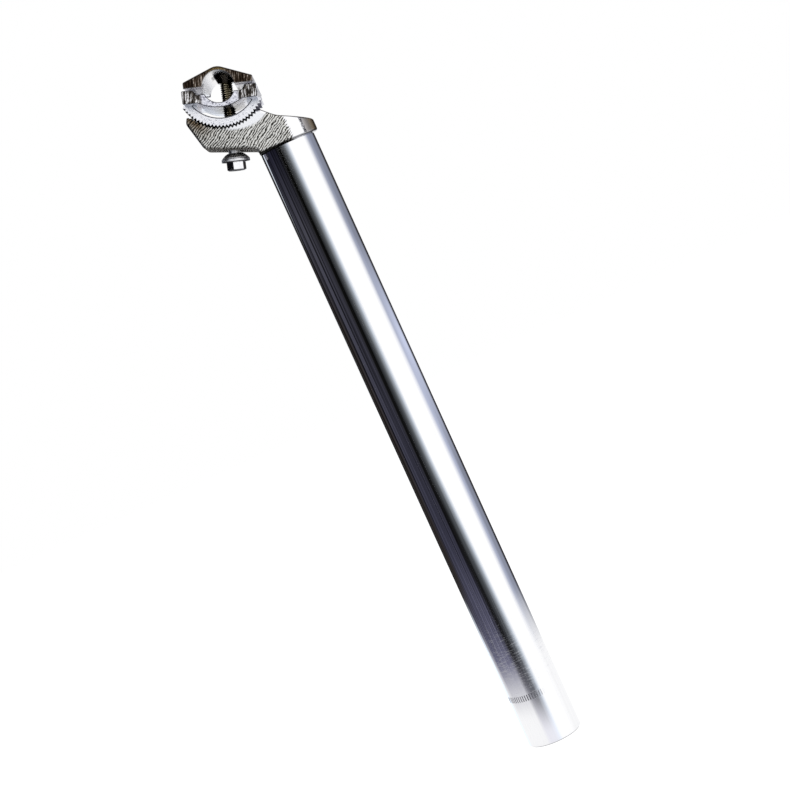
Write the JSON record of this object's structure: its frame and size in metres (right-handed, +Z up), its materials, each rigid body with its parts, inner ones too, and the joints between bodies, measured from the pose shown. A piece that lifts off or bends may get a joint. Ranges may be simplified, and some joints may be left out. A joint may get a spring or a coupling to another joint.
{
  "type": "bicycle seatpost",
  "caption": "Setback bicycle seatpost: polished alloy tube, forged head and a serrated tilting clamp for the saddle's rails, held by a bolt from below.",
  "frame": {"origin": "centre of the tube's open foot", "axes": "+Z up the tube's axis to the head, +X to the front of the bicycle, +Y to its left, along the tilt axis"},
  "size_m": [0.0546, 0.054, 0.3551],
  "materials": {
    "tube": "polished and anodised silver",
    "head": "blasted silver",
    "lower_clamp": "satin silver with sawn ends",
    "upper_clamp": "satin silver with sawn ends",
    "bolt": "bright plated",
    "washers": "bright plated"
  },
  "bodies": {
    "post": {"post_tube": "tube", "head": "head"},
    "clamp": {"lower_clamp": "lower_clamp", "upper_clamp": "upper_clamp", "clamp_bolt": "bolt", "seat_washer": "washers", "flat_washer": "washers"}
  },
  "joints": [
    {"name": "saddle_tilt", "type": "hinge", "parent": "post", "child": "clamp", "pos_m": [-0.0164, 0, 0.35], "axis": [0, 1, 0], "range_deg": [-4.5, 9]}
  ]
}
